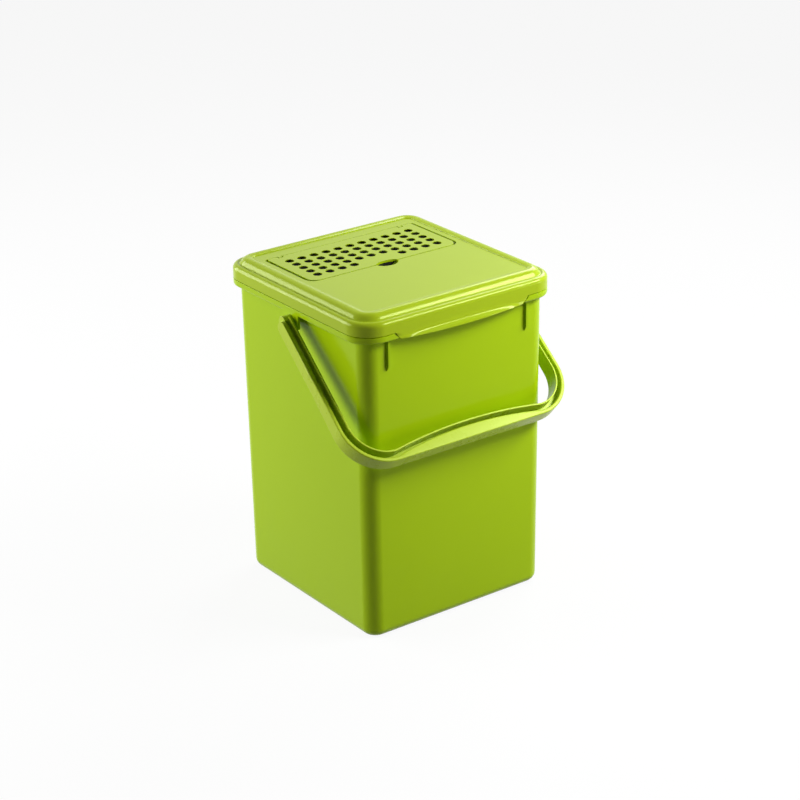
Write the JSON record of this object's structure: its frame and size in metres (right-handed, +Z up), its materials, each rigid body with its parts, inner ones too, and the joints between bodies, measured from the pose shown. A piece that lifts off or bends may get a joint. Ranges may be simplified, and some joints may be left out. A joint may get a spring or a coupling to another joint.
{
  "type": "kitchen compost caddy",
  "caption": "Square tapered plastic bin with a hinged lid, a perforated vent flap over a carbon filter pad, and a swinging bail handle.",
  "frame": {"origin": "centre of the base, on the surface that the caddy stands on", "axes": "+Z up, -Y towards the front with the lid's pull lip, +X to the right as seen from above with the front towards the viewer"},
  "size_m": [0.234, 0.2331, 0.298],
  "materials": {
    "lime_plastic": "semi-matt lime green polypropylene",
    "bail_plastic": "semi-matt lime green polypropylene, a little deeper",
    "carbon_filter": "black activated carbon felt, matt and grainy"
  },
  "bodies": {
    "bin": {"bin_body": "lime_plastic"},
    "lid": {"lid": "lime_plastic", "filter_pad": "carbon_filter"},
    "flap": {"vent_flap": "lime_plastic"},
    "bail": {"bail_handle": "bail_plastic"}
  },
  "joints": [
    {"name": "lid_hinge", "type": "hinge", "parent": "bin", "child": "lid", "pos_m": [0, 0.10985, 0.2763], "axis": [-1, 0, 0], "range_deg": [0, 105]},
    {"name": "flap_hinge", "type": "hinge", "parent": "lid", "child": "flap", "pos_m": [0, 0.0722, 0.2956], "axis": [-1, 0, 0], "range_deg": [0, 100]},
    {"name": "handle_swing", "type": "hinge", "parent": "bin", "child": "bail", "pos_m": [0, 0, 0.269], "axis": [-1, 0, 0], "range_deg": [0, 261]}
  ]
}
